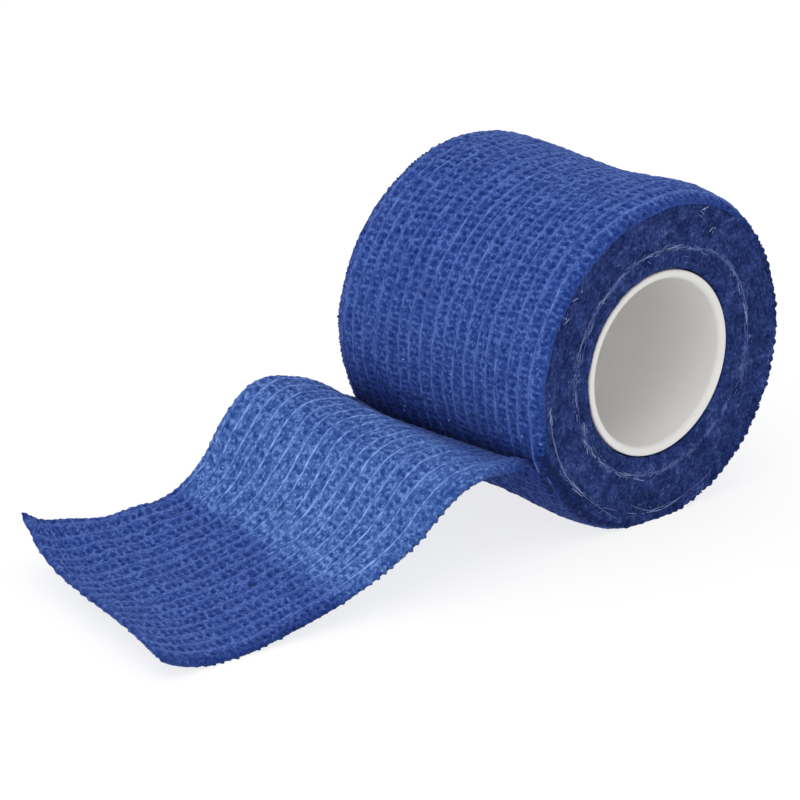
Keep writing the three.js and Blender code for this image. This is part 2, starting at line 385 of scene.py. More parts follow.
def crepeRelief(along, across, side=0):
    # how far the cloth stands out in mm, and its height from 0 in a pit to 1 on a ridge, which sets its colour
    along, across = np.broadcast_arrays(np.asarray(along, float), np.asarray(across, float))
    middle = (crepe["threadCount"] - 1) / 2
    column = np.floor(across / crepe["threadSpacing"] + middle)
    for _ in range(3):
        column = np.where(across < threadPlace(column, along), column - 1, column)
        column = np.where(across >= threadPlace(column + 1, along), column + 1, column)
    left, right = threadPlace(column, along), threadPlace(column + 1, along)
    between = (across - left) / (right - left)
    slip = crepe["rowShift"] * cellValue(column + 40, 3, 31)
    slip = slip + 0.22 * softNoise(along / 0.9, across / 0.9, 32 + side)
    row = pitRow(along, across) + slip
    pit = np.floor(row)
    inRow = row - pit
    cell = (column + 40, pit)
    twin = cellValue(*cell, 33 + side) < crepe["doublePits"]
    size = cellValue(*cell, 36 + side)
    fromMiddle = (between - 0.5) * (right - left) + 0.16 * softNoise(along / 0.7, across / 0.7, 34 + side)
    fromMiddle = fromMiddle + 0.5 * (cellValue(*cell, 30 + side) - 0.5)
    fromMiddle = np.where(twin, np.abs(fromMiddle) - crepe["doubleApart"], fromMiddle)
    low, high = crepe["pitWidth"]
    halfWidth = np.where(twin, low, low + (high - low) * size)
    halfLength = crepe["pitLength"] * (0.85 + 0.3 * cellValue(*cell, 29 + side))
    away = np.sqrt((fromMiddle / halfWidth) ** 2 + ((inRow - 0.5) / halfLength) ** 2)
    bowl = 1 - fade(*crepe["pitSides"], away)
    lip = np.exp(-(((away - crepe["lipPlace"]) / crepe["lipWidth"]) ** 2))
    lip = lip * (0.75 + 0.55 * softNoise(along / 0.75, across / 0.75, 28 + side))
    ridge = np.exp(-((np.minimum(between, 1 - between) * (right - left) / crepe["ridgeWidth"]) ** 2))
    deep = 0.5 + 0.5 * cellValue(*cell, 35 + side)
    calm = crepe["calmPits"] + (1 - crepe["calmPits"]) * fade(*crepe["calmPlaces"], along)
    sunk = bowl * deep * calm
    grain = softNoise(along / 0.42, across / 0.46, 37 + side)
    soft = softNoise(along / 0.8, across / 0.75, 39 + side)
    out = 0.06 - crepe["pitDepth"] * sunk + crepe["lipRise"] * lip + crepe["ridgeRise"] * ridge
    out = out + crepe["grain"] * grain + 0.06 * softNoise(along / 3, across / 3, 38 + side)
    light = crepe["lightLips"] * np.maximum(lip, 0.85 * ridge)
    # pits darker partly in their own tone and partly as painted shade, lips and ridges lighter partly as a
    # painted highlight
    height = 0.58 + 0.14 * (1 - calm) - 0.46 * sunk + (0.5 + 0.5 * calm) * light + 0.15 * grain + 0.1 * soft
    return out, height


def puckerTeeth(along, across, seed):
    # how far each pucker reaches past an edge, and its own random size
    row = pitRow(along, across)
    return np.abs(np.cos(np.pi * row)) ** 2, cellValue(np.round(row), np.sign(across) + 2, seed)


def standOut(points, normals, out):
    # moves points out along their normals, and never under the floor
    moved = points + normals * out[..., None]
    moved[..., 2] = np.maximum(moved[..., 2], 0.0)
    return moved


def gridNormals(points):
    return unit(np.cross(np.gradient(points, axis=0), np.gradient(points, axis=1)))


# Outermost turn of the wrap, rolled over both rims
outerTurn = {
    "start": -0.06,  # in turns before the parting line, under the loose end
    "alongStep": 0.28,
    "acrossStep": 0.37,
    "rimStart": 24.3,
    "rimRound": 0.7,
    "rimTurn": 2.2,
    "rimWave": 0.15,
    "rimTeeth": 0.35,  # how far the puckers stand out along the rims
    "standsOut": 0.1,
    "rootSink": 0.45,  # how far the turn's end sinks into the loose end's root
    "rootPaintedShade": 0.58,  # painted shade: how much darker the cloth is coloured deep between the roll and its loose end
    "rootReach": (3.4, 8.5),  # how far up that goes at the near rim and at the far one
    "underPaintedShade": 0.36,  # painted shade on the side under the loose end
    "curlShade": 0.25,  # how much darker the cloth is where the rim has curled over onto the end face
}


def nearRim(across):
    # 1 along the near rim, which carries on past the loose end's root
    return 1 - fade(-23.2, -21.0, across)


def rootShadeMask(turn, across, more=0):
    # where the painted shade goes: 1 deep between the roll and its loose end, 0 away from there
    nearReach, farReach = outerTurn["rootReach"]
    reach = more + nearReach + (farReach - nearReach) * fade(-8, 25, across)
    return np.exp(-((np.maximum(turn, 0) * rollForm["clothRound"] / reach) ** 2))


def outerTurnPoint(turn, across):
    # the wound surface, with its edges rolled down over the end faces
    start, roundness = outerTurn["rimStart"], outerTurn["rimRound"]
    past = np.clip((np.abs(across) - start) / roundness, 0, outerTurn["rimTurn"])
    inside = np.clip(across, -start, start)
    side = np.sign(across)
    along = turn * rollForm["clothRound"]
    wave = outerTurn["rimWave"] * softNoise(along / 4, side * 3 + 9, 41) * np.minimum(past, 1)
    place = inside + side * (roundness * np.sin(past) + wave)
    radius = woundRadius(turn, inside) - roundness * (1 - np.cos(past)) + outerTurn["standsOut"]
    rim = nearRim(across)
    radius = radius - outerTurn["rootSink"] * fade(0.985, 1.0, turn) * (1 - rim)
    radius = radius + rollForm["turnStep"] * rim * fade(-0.014, -0.002, turn) * (1 - fade(0.01, 0.05, turn))
    return rollPoint(partingAt(inside) - 360 * turn, radius, place)


def outerTurnFrame(turn, across):
    # a point of the wound surface, its outward normal and the way the cloth runs
    nudge = 1e-3
    ahead = unit(outerTurnPoint(turn + nudge, across) - outerTurnPoint(turn - nudge, across))
    sideways = outerTurnPoint(turn, across + nudge) - outerTurnPoint(turn, across - nudge)
    return outerTurnPoint(turn, across), unit(np.cross(ahead, sideways)), ahead


def rimBare(angle):
    # 1 round the side where the cut edges show right out to the rim, 0 where the cloth curls over them
    return fade(-0.3, 0.5, np.cos(np.radians(angle + 30)))


def buildOuterTurn(material):
    reach = outerTurn["rimStart"] + outerTurn["rimRound"] * outerTurn["rimTurn"]
    columns = int(2 * reach / outerTurn["acrossStep"]) + 1
    start = outerTurn["start"]
    rows = int((1 - start) * rollForm["clothRound"] / outerTurn["alongStep"])
    turn, across = np.meshgrid(np.linspace(start, 1, rows), np.linspace(-reach, reach, columns), indexing="ij")
    points = outerTurnPoint(turn, across)
    along = (turn - 1) * rollForm["clothRound"]
    out, height = crepeRelief(along, across)
    bare = rimBare(partingAt(across) - 360 * turn)
    tooth, size = puckerTeeth(along, across, 42)
    fromMiddle = np.abs(across)
    curl = fade(23.8, 24.8, fromMiddle)
    teeth = outerTurn["rimTeeth"] * (tooth * size - 0.3) * fade(23.3, 24.5, fromMiddle)
    out = out * (1 - 0.2 * curl) + teeth * (0.4 + 0.6 * bare)
    height = height * (1 - 0.2 * curl) + 0.12 * curl - (0.03 + 0.5 * bare) * fade(23.9, 24.8, fromMiddle)
    height = height - outerTurn["curlShade"] * fade(24.7, 25.6, fromMiddle)
    # painted shade deep between the roll and its loose end
    height = height - outerTurn["rootPaintedShade"] * rootShadeMask(turn, across) * fade(-23.5, -19.5, across)
    # painted shade on the roll's underside beneath the loose end and on the near rim just below its root, more at
    # the rims
    under = fade(0.84, 0.93, turn) + (1 - fade(0.0, 0.045, turn)) * nearRim(across)
    height = height - outerTurn["underPaintedShade"] * under * (1 + 0.8 * fade(22, 24, fromMiddle))
    points = standOut(points, gridNormals(points), out)
    piece = makePiece(
        "outerTurn",
        points.reshape(-1, 3),
        gridFaces(rows, columns),
        material,
        {"height": height, "stretch": np.zeros_like(height)},
        np.stack([along, across], -1).reshape(-1, 2),
    )
    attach(piece, "root")
    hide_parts("bandage")


# Edges of all the turns, seen on both end faces, and the inside of the innermost turn
turnEdges = {
    "roundSteps": 600,
    "faceSteps": 58,
    "turns": 14,
    "grooveDepth": 0.08,
    "grain": 0.13,
    "outerInset": 0.3,  # how far the face runs in under the rolled rim
    "recessShares": (0, 0.12, 0.3, 0.5, 0.7, 0.9, 1.0),
    "recesses": (0.45, 0.12, 0.26, 0.15, 0.25, 0.12, 0.25),
    # a hazy ring of fine thread ends: angles in degrees, its radius there
    "hazeAngles": (0, 40, 70, 175, 200, 300, 330, 360),
    "hazeRadii": (21.5, 21.5, 20.5, 20.4, 19.9, 19.8, 20.8, 21.5),
    "hazeWidth": 0.42,
    "haze": 0.42,  # how much lighter it is
}


def turnEdgeFace(turn, share, side):
    # a point on an end face, at a share of the way out from the bore, with its height
    outer = woundRadius(turn, side * rollForm["halfWidth"]) - turnEdges["outerInset"]
    if side < 0:  # the near rim carries on past the root
        outer = outer + rollForm["turnStep"] * (1 - fade(0.01, 0.05, turn))
    radius = rollForm["boreRadius"] + (outer - rollForm["boreRadius"]) * share
    angle = partingAt(side * rollForm["halfWidth"]) - 360 * turn
    seed = 50 if side < 0 else 60
    x, z = radius * np.cos(np.radians(angle)), radius * np.sin(np.radians(angle))
    wound = share * (turnEdges["turns"] + turn) + 0.12 * softNoise(angle / 9, radius / 2, seed)
    parted = fade(-0.5, 0.4, softNoise(angle / 8, wound, seed + 5))
    groove = (0.5 + 0.5 * np.cos(2 * np.pi * wound)) ** 2 * parted
    edge = 0.12 * (cellValue(np.floor(wound), seed, seed + 1) - 0.5) * (1 - groove)
    fleck = 0.8 * softNoise(x / 0.6, z / 0.7, seed + 3) + 0.6 * softNoise(x / 0.36, z / 0.42, seed + 4)
    clump = softNoise(x / 1.4, z / 1.6, seed + 6)
    recess = smoothThrough(turnEdges["recessShares"], turnEdges["recesses"], share)
    recess = recess - 0.27 * rimBare(angle) * fade(0.85, 1, share)
    lying = recess + turnEdges["grooveDepth"] * groove - edge - turnEdges["grain"] * (fleck + 0.5 * clump)
    height = 0.48 - 0.1 * groove + 0.24 * fleck + 0.2 * clump + 0.4 * edge
    ring = np.interp(angle % 360, turnEdges["hazeAngles"], turnEdges["hazeRadii"])
    ring = ring + 0.35 * softNoise(angle / 14, side, seed + 7)
    haze = np.exp(-(((radius - ring) / turnEdges["hazeWidth"]) ** 2))
    haze = haze * (0.75 + 0.5 * softNoise(angle / 6, radius / 2, seed + 8))
    height = height + turnEdges["haze"] * haze
    return rollPoint(angle, radius, side * (rollForm["halfWidth"] - lying)), height


def buildTurnEdges(material):
    steps = turnEdges["roundSteps"]
    shares = np.linspace(1, 0, turnEdges["faceSteps"])
    turn, share = np.meshgrid(np.arange(steps) / steps, shares, indexing="ij")
    near, nearHeight = turnEdgeFace(turn, share, -1)
    far, farHeight = turnEdgeFace(turn, share, 1)
    wallShare = np.linspace(0, 1, 6)[1:-1][None, :, None]
    wall = near[:, -1:] * (1 - wallShare) + far[:, -1:] * wallShare
    points = np.concatenate([near, wall, far[:, ::-1]], 1)
    height = np.concatenate([nearHeight, np.full(wall.shape[:2], 0.2), farHeight[:, ::-1]], 1)
    piece = makePiece(
        "turnEdges",
        points.reshape(-1, 3),
        gridFaces(steps, points.shape[1], closed=True, flip=True),
        material,
        {"height": height},
        points[..., [0, 2]].reshape(-1, 2),
    )
    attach(piece, "root")
    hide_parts("bandage")


# The loose end: its middle surface runs through these stations, near edge and far edge, from the roll outward
looseEnd = {
    "thickness": 1.2,
    "start": -4.0,  # along the cloth from the parting line, inside the roll
    "nearX": (-28.0, -33.5, -39.8, -45.5, -50.1, -55.4, -60.3, -67.2, -73.9, -83.4, -92.5, -99.5, -105.3, -109.6),
    "nearZ": (16.9, 17.9, 18.3, 17.2, 14.7, 10.7, 8.1, 5.5, 3.6, 1.7, 0.4, 0.5, 1.9, 3.9),
    "farX": (-24.2, -29.0, -34.1, -39.5, -44.4, -50.4, -54.9, -58.9, -64.2, -74.0, -83.2, -89.9, -94.4, -97.5),
    "farZ": (13.2, 15.9, 19.0, 21.5, 22.8, 21.2, 17.3, 11.3, 7.2, 5.8, 6.3, 7.6, 9.2, 11.0),
    "sag": (0, 0, 0.2, 0.3, 0.2, 0, 0, 0.2, 0.3, 0.5, 1.0, 1.9, 2.9, 3.9),
    "drift": (0, 0.05, 0.1, 0.2, 0.3, 0.5, 0.7, 0.9, 1.1, 1.5, 1.9, 2.3, 2.6, 2.8),
    "rootAngles": (26, 14, 4),  # degrees before the parting line, inside the roll
    "rootDepth": 0.55,
    "sagLean": 2.2,
    "rootInset": 3.2,  # how far in from the near rim it leaves the roll
    "rootDip": 1.3,  # how far it hangs below the stations just after it leaves the roll
    "rippleHeight": 0.2,
    "rippleLength": 13.0,
    "alongStep": 0.3,
    "acrossStep": 0.36,
    "edgeTeeth": (0.85, 0.45),  # how far the puckers push the near and the far long edge out
    "cutTeeth": 0.3,
    "edgePaintedShade": (0.28, 0.08),  # painted shade: how much darker the near and the far long edge are coloured
}


def looseEdge(side):
    # the root on the roll's last turn, then the stations of one long edge
    across = side * (rollForm["halfWidth"] - 0.5)
    root = [
        rollPoint(
            partingAt(side * rollForm["halfWidth"]) + before,
            woundRadius(1 - before / 360, across) - looseEnd["thickness"] / 2 - looseEnd["rootDepth"],
            across,
        )
        for before in looseEnd["rootAngles"]
    ]
    label = "near" if side < 0 else "far"
    free = zip(looseEnd[label + "X"], looseEnd["drift"], looseEnd[label + "Z"])
    return np.array(root + [(x, side * rollForm["halfWidth"] + drift, z) for x, drift, z in free])


def curveThrough(knots, at):
    # a smooth curve through the knots; at counts knots, so 2.5 lies halfway between the third and the fourth
    knots = np.vstack([2 * knots[0] - knots[1], knots, 2 * knots[-1] - knots[-2]])
    start = np.clip(np.floor(at).astype(int), 0, len(knots) - 4)
    share = (at - start)[..., None]
    a, b, c, d = (knots[start + offset] for offset in range(4))
    gaps = (b - a, c - b, d - c)
    first, middle, final = (np.sqrt(np.linalg.norm(gap, axis=-1, keepdims=True)) for gap in gaps)
    leave = ((b - a) / first - (c - a) / (first + middle) + (c - b) / middle) * middle
    arrive = ((c - b) / middle - (d - b) / (middle + final) + (d - c) / final) * middle
    return cubic(share, b, c, leave, arrive)


nearEdge, farEdge = looseEdge(-1), looseEdge(1)
rootKnots = len(looseEnd["rootAngles"])
lastKnot = len(nearEdge) - 1


def looseMiddle(knot, share):
    # the middle of the cloth's thickness; share runs from the near long edge to the far one
    near, far = curveThrough(nearEdge, knot), curveThrough(farEdge, knot)
    points = near * (1 - share[..., None]) + far * share[..., None]
    station = np.maximum(0, knot - rootKnots)
    sag = smoothThrough(range(len(looseEnd["sag"])), looseEnd["sag"], station)
    ripple = np.minimum(1, station / 3) * np.sin(2 * np.pi * points[..., 0] / looseEnd["rippleLength"])
    inside = np.clip(share, 0, 1)
    fromRoot = knot - rootKnots
    dip = fade(-1, -0.1, fromRoot) * (1 - fade(0.6, 2.3, fromRoot)) * (1 - fade(0.8, 1, inside))
    points[..., 2] -= looseEnd["rootDip"] * dip * (0.35 + 0.65 * fade(0.02, 0.2, inside))
    points[..., 1] += looseEnd["rootInset"] * (1 - inside) ** 5 * (1 - fade(-0.2, 1.5, fromRoot))
    sag = sag * np.sin(np.pi * inside ** looseEnd["sagLean"])
    points[..., 2] += looseEnd["rippleHeight"] * ripple * inside - sag
    return points


# Cloth length from the parting line, for a knot number and back
knotSteps = np.linspace(0, lastKnot, 600)
middleLine = looseMiddle(knotSteps, np.full(600, 0.5))
lengthSteps = np.concatenate([[0], np.cumsum(np.linalg.norm(np.diff(middleLine, axis=0), axis=1))])
lengthSteps -= np.interp(rootKnots, knotSteps, lengthSteps)
looseLength = lengthSteps[-1]


def knotAt(along):
    return np.interp(along, lengthSteps, knotSteps)


def looseFrame(along, across):
    # middle point, upward normal, outward direction of the cut end and half thickness
    knot, share = knotAt(along), across / (2 * rollForm["halfWidth"]) + 0.5
    point = looseMiddle(knot, share)
    nudge = 0.02
    before, after = np.maximum(knot - nudge, 0), np.minimum(knot + nudge, lastKnot)
    ahead = looseMiddle(after, share) - looseMiddle(before, share)
    sideways = looseMiddle(knot, share + nudge) - looseMiddle(knot, share - nudge)
    up = -unit(np.cross(ahead, sideways))
    fromEdge = np.minimum(rollForm["halfWidth"] - np.abs(across), looseLength - along)
    full = looseEnd["thickness"] / 2 - 0.1
    half = full * np.sqrt(np.clip(1 - (1 - np.clip(fromEdge, 0.02, full) / full) ** 2, 0.04, 1))
    return point, up, unit(ahead), half


# Where the loose end is stretched, in mm along it, the line across its foot slanting with the hump
strain = {"foot": 47.2, "footSlant": 1.1, "footWander": 0.9, "softness": 2.2, "softSlant": -1.1}


def stretchOf(along, across):
    # 1 where the hump stretches the cloth, 0 on the tail and near the roll
    share = across / rollForm["halfWidth"]
    wander = softNoise(along / 4, across / 5, 71)
    foot = strain["foot"] + strain["footSlant"] * share + strain["footWander"] * wander
    soft = strain["softness"] + strain["softSlant"] * share
    rising = 0.15 + 0.6 * fade(4, 14, along) + 0.25 * fade(24, 42, along)
    return fade(0, 4, along) * rising * (1 - fade(foot - soft, foot + soft, along))


def looseFace(along, across, side):
    # one face of the loose end with its crepe, side 1 for the top and -1 for the underside
    tooth, size = puckerTeeth(along, across, 72)
    reach = np.where(across < 0, *looseEnd["edgeTeeth"])
    fromLongEdge = rollForm["halfWidth"] - np.abs(across)
    atEdge = np.exp(-((fromLongEdge / 0.8) ** 2)) * fade(-2, 1, along)
    pushed = across + np.sign(across) * reach * (tooth * (0.4 + 0.6 * size) - 0.25) * atEdge
    point, up, ahead, half = looseFrame(along, pushed)
    out, height = crepeRelief(along, across, 0 if side > 0 else 80)
    strained = stretchOf(along, across)
    ruffle = 0.85 * softNoise(along / 0.5, across / 0.5, 73) + 0.4 * softNoise(along / 1.1, across / 0.9, 75)
    out = out * (1 - 0.3 * strained) + 0.08 * strained * ruffle
    height = height * (1 - 0.35 * strained) + strained * (0.17 + 0.36 * ruffle)
    endShare = np.exp(-(((looseLength - along) / 0.8) ** 2))
    cut = looseEnd["cutTeeth"] * softNoise(across / 0.8, side, 74) * endShare
    rim = half / (looseEnd["thickness"] / 2 - 0.1)
    out = out * fade(-6, 0, along) * (0.4 + 0.6 * rim)
    points = standOut(point + ahead * cut[..., None], up, side * (half + out))
    fromCut = looseLength - along
    # painted shade along the long edges where the cloth rounds off, most on the near edge
    edgePaintedShade = np.where(across < 0, *looseEnd["edgePaintedShade"]) * (1 - 0.75 * strained)
    height = height - edgePaintedShade * ((1 - rim) * fade(4, 12, fromCut) + np.exp(-((fromLongEdge / 1.3) ** 2)))
    height = height + 0.25 * (0.6 - height) * (1 - fade(0.2, 1.0, fromCut))
    return points, height, strained


def buildLooseEnd(material):
    start = looseEnd["start"]
    rows = int((looseLength - start) / looseEnd["alongStep"]) + 1
    columns = int(2 * rollForm["halfWidth"] / looseEnd["acrossStep"]) + 1
    along, across = np.meshgrid(
        np.linspace(start, looseLength, rows),
        rollForm["halfWidth"] * np.linspace(-1, 1, columns),
        indexing="ij",
    )
    top, topHeight, stretch = looseFace(along, across, 1)
    under, underHeight, _ = looseFace(along, across, -1)
    size = rows * columns
    index = np.arange(size).reshape(rows, columns)
    border = np.concatenate([index[0, :-1], index[:-1, -1], index[-1, :0:-1], index[:0:-1, 0]])
    following = np.roll(border, -1)
    rim = np.stack([border, border + size, following + size, following], -1)
    faces = np.concatenate([gridFaces(rows, columns, flip=True), gridFaces(rows, columns, start=size), rim])
    clothPlace = np.stack([along, across], -1).reshape(-1, 2)
    piece = makePiece(
        "looseEnd",
        np.concatenate([top.reshape(-1, 3), under.reshape(-1, 3)]),
        faces,
        material,
        {
            "height": np.concatenate([topHeight.ravel(), underHeight.ravel()]),
            "stretch": np.concatenate([stretch.ravel(), 0.5 * stretch.ravel()]),
        },
        np.concatenate([clothPlace, clothPlace + 200]),
    )
    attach(piece, "root")
    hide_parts("bandage")
    return piece, (looseLength - start) / 1000


# Elastic threads, half sunk in the crepe
elastic = {
    "radius": 0.17,
    "step": 0.45,
    "sides": 5,
    "sink": 0.08,
    "edgePlace": 24.3,  # as far out as a thread may lie
    "wrapPlaces": (-0.05, 0.995),  # where they start and end on the outermost turn
    "wrapLift": 0.1,
    "wrapGlow": 0.24,
    "wrapDullest": 0.11,
    "looseLift": (0.06, 0.11),  # on slack cloth, and what stretching adds
    "looseGlow": (0.22, 0.56),
    "looseDullest": (0.16, 0.24),
    "looseHidden": -0.3,  # how deep the ends and the outermost threads are sewn in
}


def buildWrapThreads(material):
    count = crepe["threadCount"]
    start, end = elastic["wrapPlaces"]
    steps = int((end - start) * rollForm["clothRound"] / elastic["step"])
    number, turn = np.meshgrid(np.arange(count), np.linspace(start, end, steps), indexing="ij")
    along = (turn - 1) * rollForm["clothRound"]
    across = np.clip(threadPlace(number, along), -elastic["edgePlace"], elastic["edgePlace"])
    points, up, _ = outerTurnFrame(turn, across)
    sunk = softNoise(along / 2.2, 7.7 * number, 81) + softNoise(along / 0.8, 7.7 * number, 80)
    lines = points + up * (elastic["wrapLift"] + elastic["sink"] * sunk)[..., None]
    radii = elastic["radius"] * (1 + 0.3 * softNoise(along / 0.8, 3.1 * number, 82))
    lines[..., 2] = np.maximum(lines[..., 2], radii)
    glow = elastic["wrapGlow"] + 0.18 * softNoise(along / 3.5, 9.1 * number, 83)
    glow = glow + 0.3 * softNoise(along / 0.7, 1.7 * number, 84)
    glow = glow + 0.12 * (cellValue(number, 5, 85) - 0.5) - 0.12 * fade(0.35, 0.5, turn)
    glow = glow - 0.1 * (np.abs(across) > 22) * (1 - fade(0.1, 0.2, turn))
    # painted shade on the threads, as on the cloth: under the roll and deep at the loose end's root
    dull = fade(0.82, 0.9, turn) + rootShadeMask(turn, across, 1)
    glow = np.maximum(glow, elastic["wrapDullest"]) - 0.4 * dull
    piece = makeThreads("wrapThreads", lines, radii, glow, elastic["sides"], material, up)
    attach(piece, "root")


def buildLooseThreads(material):
    count = crepe["threadCount"]
    start = looseEnd["start"]
    steps = int((looseLength - start) / elastic["step"])
    number, along = np.meshgrid(np.arange(count), np.linspace(start, looseLength - 0.15, steps), indexing="ij")
    across = np.clip(threadPlace(number, along), -elastic["edgePlace"], elastic["edgePlace"])
    point, up, _, half = looseFrame(along, across)
    strained = stretchOf(along, across)
    bothFaces = []
    for side in (1, -1):
        sunk = softNoise(along / 2.2, 7.7 * number, 86 + side) + softNoise(along / 0.8, 7.7 * number, 84 + side)
        slackLift, strainLift = elastic["looseLift"]
        lift = slackLift + strainLift * strained + elastic["sink"] * sunk
        lift = np.where((along < 0.5) | (np.abs(across) > 23.9), elastic["looseHidden"], lift)
        lines = point + up * (side * (half + lift))[..., None]
        swell = 0.35 * softNoise(along / 0.6, 3.1 * number, 88 + side)
        radii = elastic["radius"] * (0.85 + 0.4 * strained + swell)
        lines[..., 2] = np.maximum(lines[..., 2], radii)
        slackGlow, strainGlow = elastic["looseGlow"]
        glow = slackGlow + (strainGlow - 0.24 * fade(30, 43, along)) * strained
        glow = glow + (0.06 + 0.08 * strained) * softNoise(along / 3.5, 9.1 * number, 90 + side)
        glow = glow + (0.1 + 0.28 * strained) * softNoise(along / 0.55, 1.7 * number, 92 + side)
        slackDullest, strainDullest = elastic["looseDullest"]
        glow = np.maximum(glow, slackDullest + strainDullest * strained)
        bothFaces.append((lines, radii, glow, side * up))
    lines, radii, glow, facing = (np.concatenate(pair) for pair in zip(*bothFaces))
    piece = makeThreads("looseThreads", lines, radii, glow, elastic["sides"], material, facing)
    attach(piece, "root")
    return piece


# Short loops of yarn that stand out of the crepe
clothFuzz = {
    "wrapCount": 260,
    "looseCount": 500,
    "reach": (24.8, 24.6),  # as far out as they grow on the wrap and on the loose end
    "length": (0.3, 0.7),
    "radius": 0.14,
    "taper": (0.5, 0.9, 1.0, 0.8, 0.35),
    "sides": 5,
    "rise": 0.03,
    "lowest": 0.25,  # their middle lines stay this high above the floor
}


def fuzzLines(base, up, ahead, random):
    # short arched hairs from base points, lying mostly along the surface
    count = len(base)
    heading = random.uniform(0, 2 * np.pi, count)[:, None]
    sideways = np.cross(up, ahead)
    lying = np.cos(heading) * ahead + np.sin(heading) * sideways
    length = random.uniform(*clothFuzz["length"], count)[:, None]
    bend = np.cross(up, lying) * random.uniform(-0.35, 0.35, count)[:, None] * length
    share = np.linspace(0, 1, len(clothFuzz["taper"]))[None, :, None]
    lift = random.uniform(0.4, 1.6, count)[:, None] * clothFuzz["rise"]
    arch = np.sin(np.pi * share) * (up * lift + bend)[:, None]
    return base[:, None] + (share - 0.5) * (lying * length)[:, None] + arch


def buildClothFuzz(material):
    random = np.random.default_rng(101)
    count = clothFuzz["wrapCount"]
    wrapReach, looseReach = clothFuzz["reach"]
    turn, across = random.uniform(0.0, 0.98, count), random.uniform(-wrapReach, wrapReach, count)
    wrapLines = fuzzLines(*outerTurnFrame(turn, across), random)
    low = 0.35 + 0.65 * fade(0.2, 0.02, turn)  # most of the loops shine low on the front
    wrapGlow = low * random.uniform(0.2, 1.0, count) ** 2
    many = clothFuzz["looseCount"] * 3
    along, across = random.uniform(1.0, looseLength - 0.5, many), random.uniform(-looseReach, looseReach, many)
    side = np.where(random.random(many) < 0.75, 1, -1)
    keep = random.random(many) < 0.12 + 0.88 * stretchOf(along, across)
    along, across, side = (values[keep][: clothFuzz["looseCount"]] for values in (along, across, side))
    point, up, ahead, half = looseFrame(along, across)
    up = up * side[:, None]
    looseLines = fuzzLines(point + up * (half - 0.01)[:, None], up, ahead, random)
    looseGlow = random.uniform(0.3, 0.85, len(along)) ** 1.6 * (0.45 + 0.55 * stretchOf(along, across))
    lines = np.concatenate([wrapLines, looseLines])
    lines[..., 2] = np.maximum(lines[..., 2], clothFuzz["lowest"])
    taper = np.array(clothFuzz["taper"])
    radii = clothFuzz["radius"] * random.uniform(0.6, 1.3, len(lines))[:, None] * taper
    glow = np.concatenate([wrapGlow, looseGlow])
    piece = makeThreads("clothFuzz", lines, radii, glow, clothFuzz["sides"], material)
    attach(piece, "root")


# Tufts where the cloth's long edges and its cut end fray
edgeTufts = {
    "length": (0.18, 0.4),
    "radius": 0.21,
    "taper": (0.9, 1.0, 1.0, 0.85, 0.5),
    "sides": 5,
    "glow": (0.0, 0.5),
    # from one tuft to the next along the loose end's long edges, the roll's rims and the cut end
    "looseStep": 0.5,
    "rimStep": 0.8,
    "cutStep": 0.7,
    # how far out across the cloth they grow there
    "looseReach": 24.8,
    "rimReach": (23.6, 25.2),
    "cutReach": 24.6,
    "sunk": 0.15,  # how far inside the cloth a tuft starts
}


def buildEdgeTufts(material):
    random = np.random.default_rng(111)
    starts, ways, ups = [], [], []
    for side in (-1, 1):
        along = np.arange(0.5, looseLength, edgeTufts["looseStep"])
        along = along + random.uniform(-0.3, 0.3, len(along))
        point, up, ahead, _ = looseFrame(along, np.full(len(along), side * edgeTufts["looseReach"]))
        starts.append(point)
        ways.append(side * np.cross(up, ahead))
        ups.append(up)
        turn = np.arange(0.01, 0.985, edgeTufts["rimStep"] / rollForm["clothRound"])
        turn = turn + random.uniform(-0.002, 0.002, len(turn))
        across = side * random.uniform(*edgeTufts["rimReach"], len(turn))
        point = outerTurnPoint(turn, across)
        outward = unit(point * [1, 0, 1] - [0, 0, rollForm["axisHeight"]])
        lean = random.uniform(0.1, 1.0, len(turn))[:, None]
        starts.append(point)
        ways.append(unit(outward * (1.1 - lean) + np.array([0, side, 0]) * lean))
        ups.append(outward)
    across = np.arange(-edgeTufts["cutReach"], edgeTufts["cutReach"], edgeTufts["cutStep"])
    across = across + random.uniform(-0.25, 0.25, len(across))
    point, up, ahead, _ = looseFrame(np.full(len(across), looseLength - 0.1), across)
    starts.append(point)
    ways.append(ahead)
    ups.append(up)
    starts, ways, ups = (np.concatenate(part) for part in (starts, ways, ups))
    count = len(starts)
    length = random.uniform(*edgeTufts["length"], count) * random.uniform(0.4, 1.0, count)
    aside = unit(np.cross(ways, ups)) * random.uniform(-0.9, 0.9, count)[:, None]
    curl = ups * random.uniform(-0.35, 0.45, count)[:, None]
    share = np.linspace(0, 1, len(edgeTufts["taper"]))[None, :, None]
    reach = length[:, None, None]
    lines = starts[:, None] + ways[:, None] * (share * reach - edgeTufts["sunk"])
    lines = lines + (aside + curl)[:, None] * share**2 * reach
    lines[..., 2] = np.maximum(lines[..., 2], 1.4 * edgeTufts["radius"])
    taper = np.array(edgeTufts["taper"])
    radii = edgeTufts["radius"] * random.uniform(0.6, 1.4, count)[:, None] * taper
    glow = random.uniform(*edgeTufts["glow"], count)
    piece = makeThreads("edgeTufts", lines, radii, glow, edgeTufts["sides"], material)
    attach(piece, "root")


